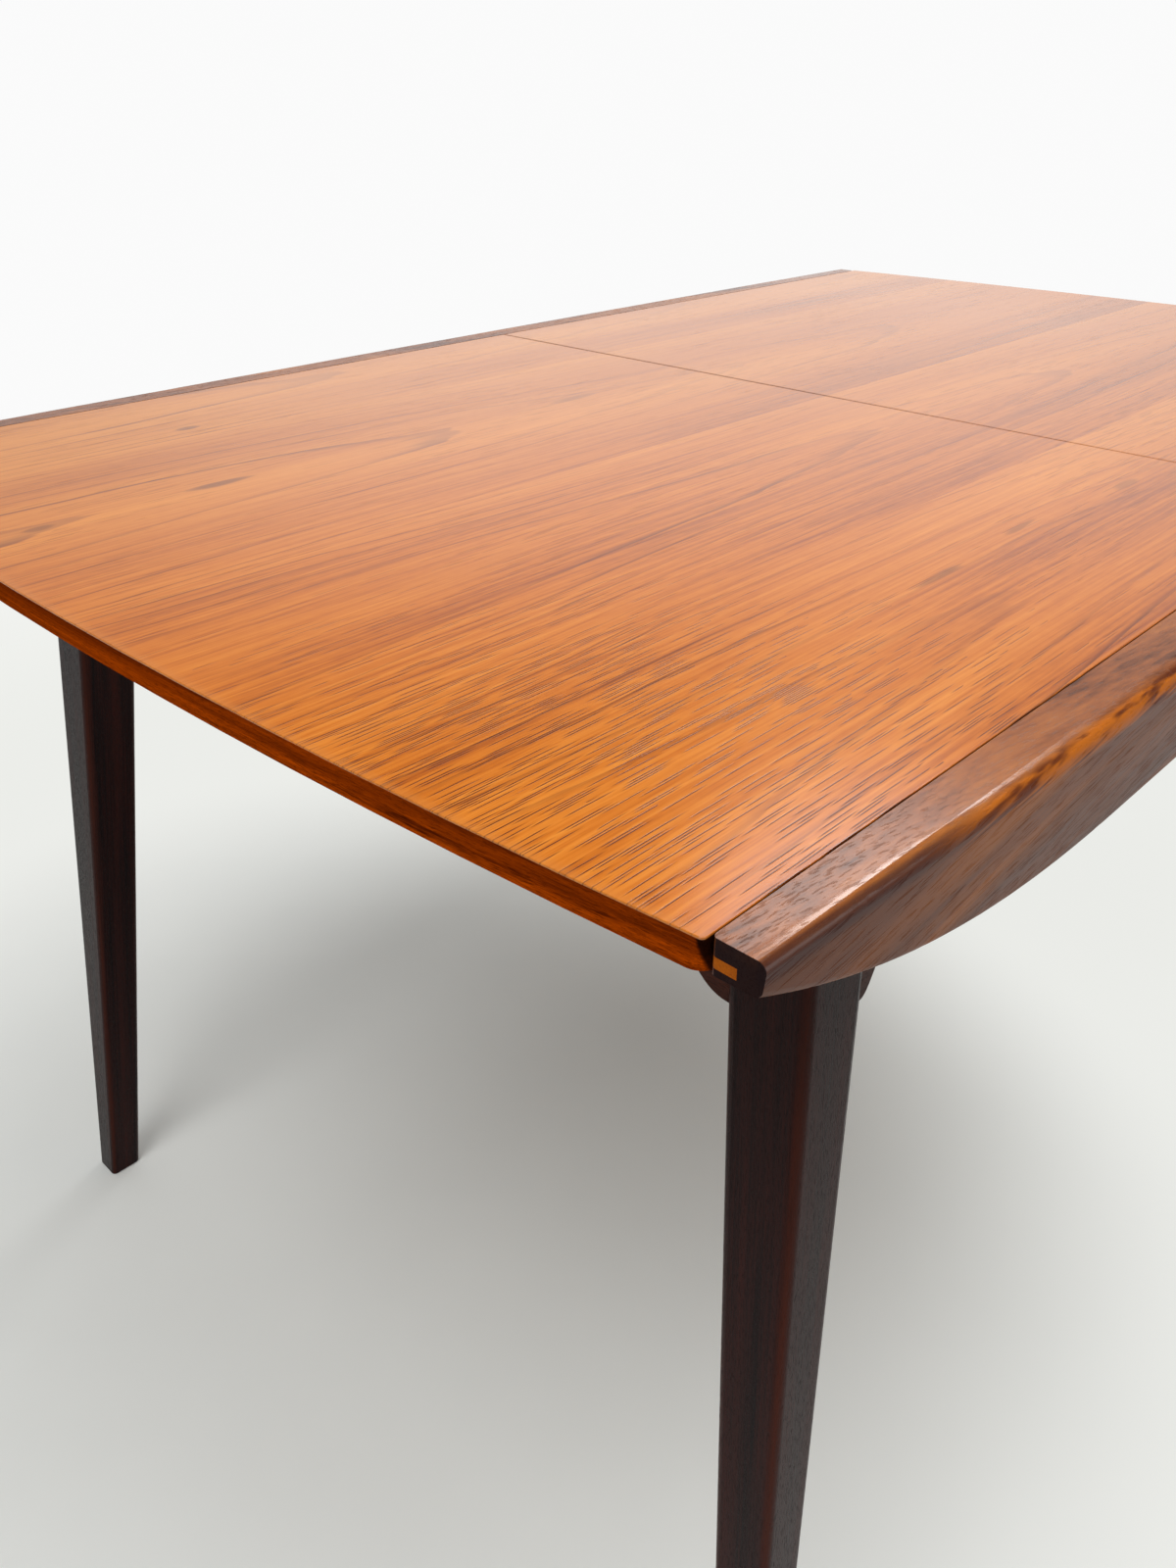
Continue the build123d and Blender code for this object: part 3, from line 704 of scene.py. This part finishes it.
class TABLE_OT_set_stage(bpy.types.Operator):
    """Pale floor that fades to white, soft lamps, a bright room on one side and the camera"""
    bl_idname = "table.set_stage"
    bl_label = "Set the stage"

    def execute(self, context):
        stage = context.scene.table_stage
        bpy.ops.object.select_all(action="DESELECT")
        self.lay_floor(stage)
        self.light_room(context)
        for name, (place, aim, size) in LAMPS.items():
            self.hang_lamp(f"{name}_lamp", place, aim, size, getattr(stage, f"{name}_power"))
        self.place_camera(context, stage)
        context.scene.view_settings.view_transform = "Standard"
        return {"FINISHED"}

    def lay_floor(self, stage):
        bpy.ops.mesh.primitive_plane_add(size=FLOOR_SIZE, location=(0.0, 0.0, 0.0))
        floor = bpy.context.object
        floor.name = "floor"
        material, nodes = new_finish("floor")
        place = nodes.place()
        x, y = nodes.split(place)[:2]
        cloud = nodes.noise(place, (1.6, 1.6, 1.0), 4.0, 0.6) - 0.5
        paint = nodes.mix(cloud.rise(-0.2, 0.2), scaled(stage.floor_colour, 0.95), stage.floor_colour)
        painted = nodes.node("ShaderNodeBsdfPrincipled", None, {"Base Color": paint, "Roughness": 0.6})

        # Away from the middle of the table's shadow the floor glows, a painted light that brightens the floor
        # round the table and lifts even the shadow a little. Far out it fades into the white behind
        away = (x - SHADOW_X).squared() * 0.9 + (y - SHADOW_Y).squared() * 0.8
        pale = nodes.mix(away.rise(1.2, 6.0), FLOOR_GLOW, WHITE)
        glow = nodes.node("ShaderNodeEmission", None, {"Color": pale, "Strength": WHITE_LEVEL})
        around = x * x * 0.6 + y * y * 0.8
        share = away.rise(0.08, 0.62) * 0.80 + around.rise(1.0, 2.6) * 0.10 + 0.10
        camera, mirrored = nodes.ray_kinds()
        nodes.finish(nodes.mix_shaders(share * (camera + mirrored).at_most(1.0), painted, glow))
        floor.data.materials.append(material)

    def light_room(self, context):
        """White for the camera, a room with a window for what mirrors it, and soft daylight for the rest."""
        world = bpy.data.worlds.new("studio")
        world.use_nodes = True
        context.scene.world = world
        nodes = Nodes(world.node_tree)
        x, y, z = nodes.split(nodes.node("ShaderNodeTexCoord", None, None, "Generated"))
        camera, mirrored = nodes.ray_kinds()
        toward_window = x * WINDOW_X + y * WINDOW_Y
        ceiling = z.rise(0.30, 0.49)
        room = 0.14 + toward_window.rise(0.0, 0.95) * 0.46 + toward_window.rise(0.80, 0.98) * 0.49
        room = room * (1.0 - ceiling * 0.95)
        daylight = toward_window.rise(-0.30, 0.85) * 0.36 + 0.18
        strength = camera * WHITE_LEVEL + mirrored * room + (1.0 - camera - mirrored) * daylight
        shader = nodes.node("ShaderNodeBackground", None, {"Color": opaque(WHITE), "Strength": strength})
        nodes.node("ShaderNodeOutputWorld", None, {"Surface": shader})

    def hang_lamp(self, name, place, aim, size, power):
        bpy.ops.object.light_add(type="AREA", location=place)
        lamp = bpy.context.object
        lamp.name = name
        lamp.rotation_euler = (Vector(aim) - Vector(place)).to_track_quat("-Z", "Y").to_euler()
        lamp.data.shape = "DISK"
        lamp.data.size = size
        lamp.data.energy = power

    def place_camera(self, context, stage):
        bpy.ops.object.camera_add(location=stage.camera_place, rotation=stage.camera_turn)
        camera = bpy.context.object
        camera.data.sensor_fit = "VERTICAL"
        camera.data.sensor_height = SENSOR_HEIGHT
        camera.data.lens = stage.lens
        context.scene.camera = camera


class TABLE_PT_panel(bpy.types.Panel):
    """Colours, stage and steps of the table"""
    bl_label = "Extending table"
    bl_idname = "TABLE_PT_panel"
    bl_space_type = "VIEW_3D"
    bl_region_type = "UI"
    bl_category = "Table"

    def draw(self, context):
        for step in STEPS:
            self.layout.operator(step.bl_idname)
        for settings in (context.scene.table_finishes, context.scene.table_stage):
            for key in settings.bl_rna.properties.keys():
                if key not in ("rna_type", "name"):
                    self.layout.prop(settings, key)


STEPS = (
    TABLE_OT_dress_veneer,
    TABLE_OT_dress_lippings,
    TABLE_OT_dress_side_rails,
    TABLE_OT_dress_legs,
    TABLE_OT_dress_aprons,
    TABLE_OT_dress_runners,
    TABLE_OT_dress_underframe,
    TABLE_OT_dress_boards,
    TABLE_OT_dress_screws,
    TABLE_OT_set_stage,
)
CLASSES = (TableFinishes, TableStage, *STEPS, TABLE_PT_panel)


def register():
    for item in CLASSES:
        bpy.utils.register_class(item)
    bpy.types.Scene.table_finishes = PointerProperty(type=TableFinishes)
    bpy.types.Scene.table_stage = PointerProperty(type=TableStage)


def unregister():
    del bpy.types.Scene.table_stage
    del bpy.types.Scene.table_finishes
    for item in reversed(CLASSES):
        bpy.utils.unregister_class(item)


def main():
    register()
    bpy.ops.table.dress_veneer()
    bpy.ops.table.dress_lippings()
    bpy.ops.table.dress_side_rails()
    bpy.ops.table.dress_legs()
    bpy.ops.table.dress_aprons()
    bpy.ops.table.dress_runners()
    bpy.ops.table.dress_underframe()
    bpy.ops.table.dress_boards()
    bpy.ops.table.dress_screws()
    bpy.ops.table.set_stage()


if __name__ == "__main__":
    main()
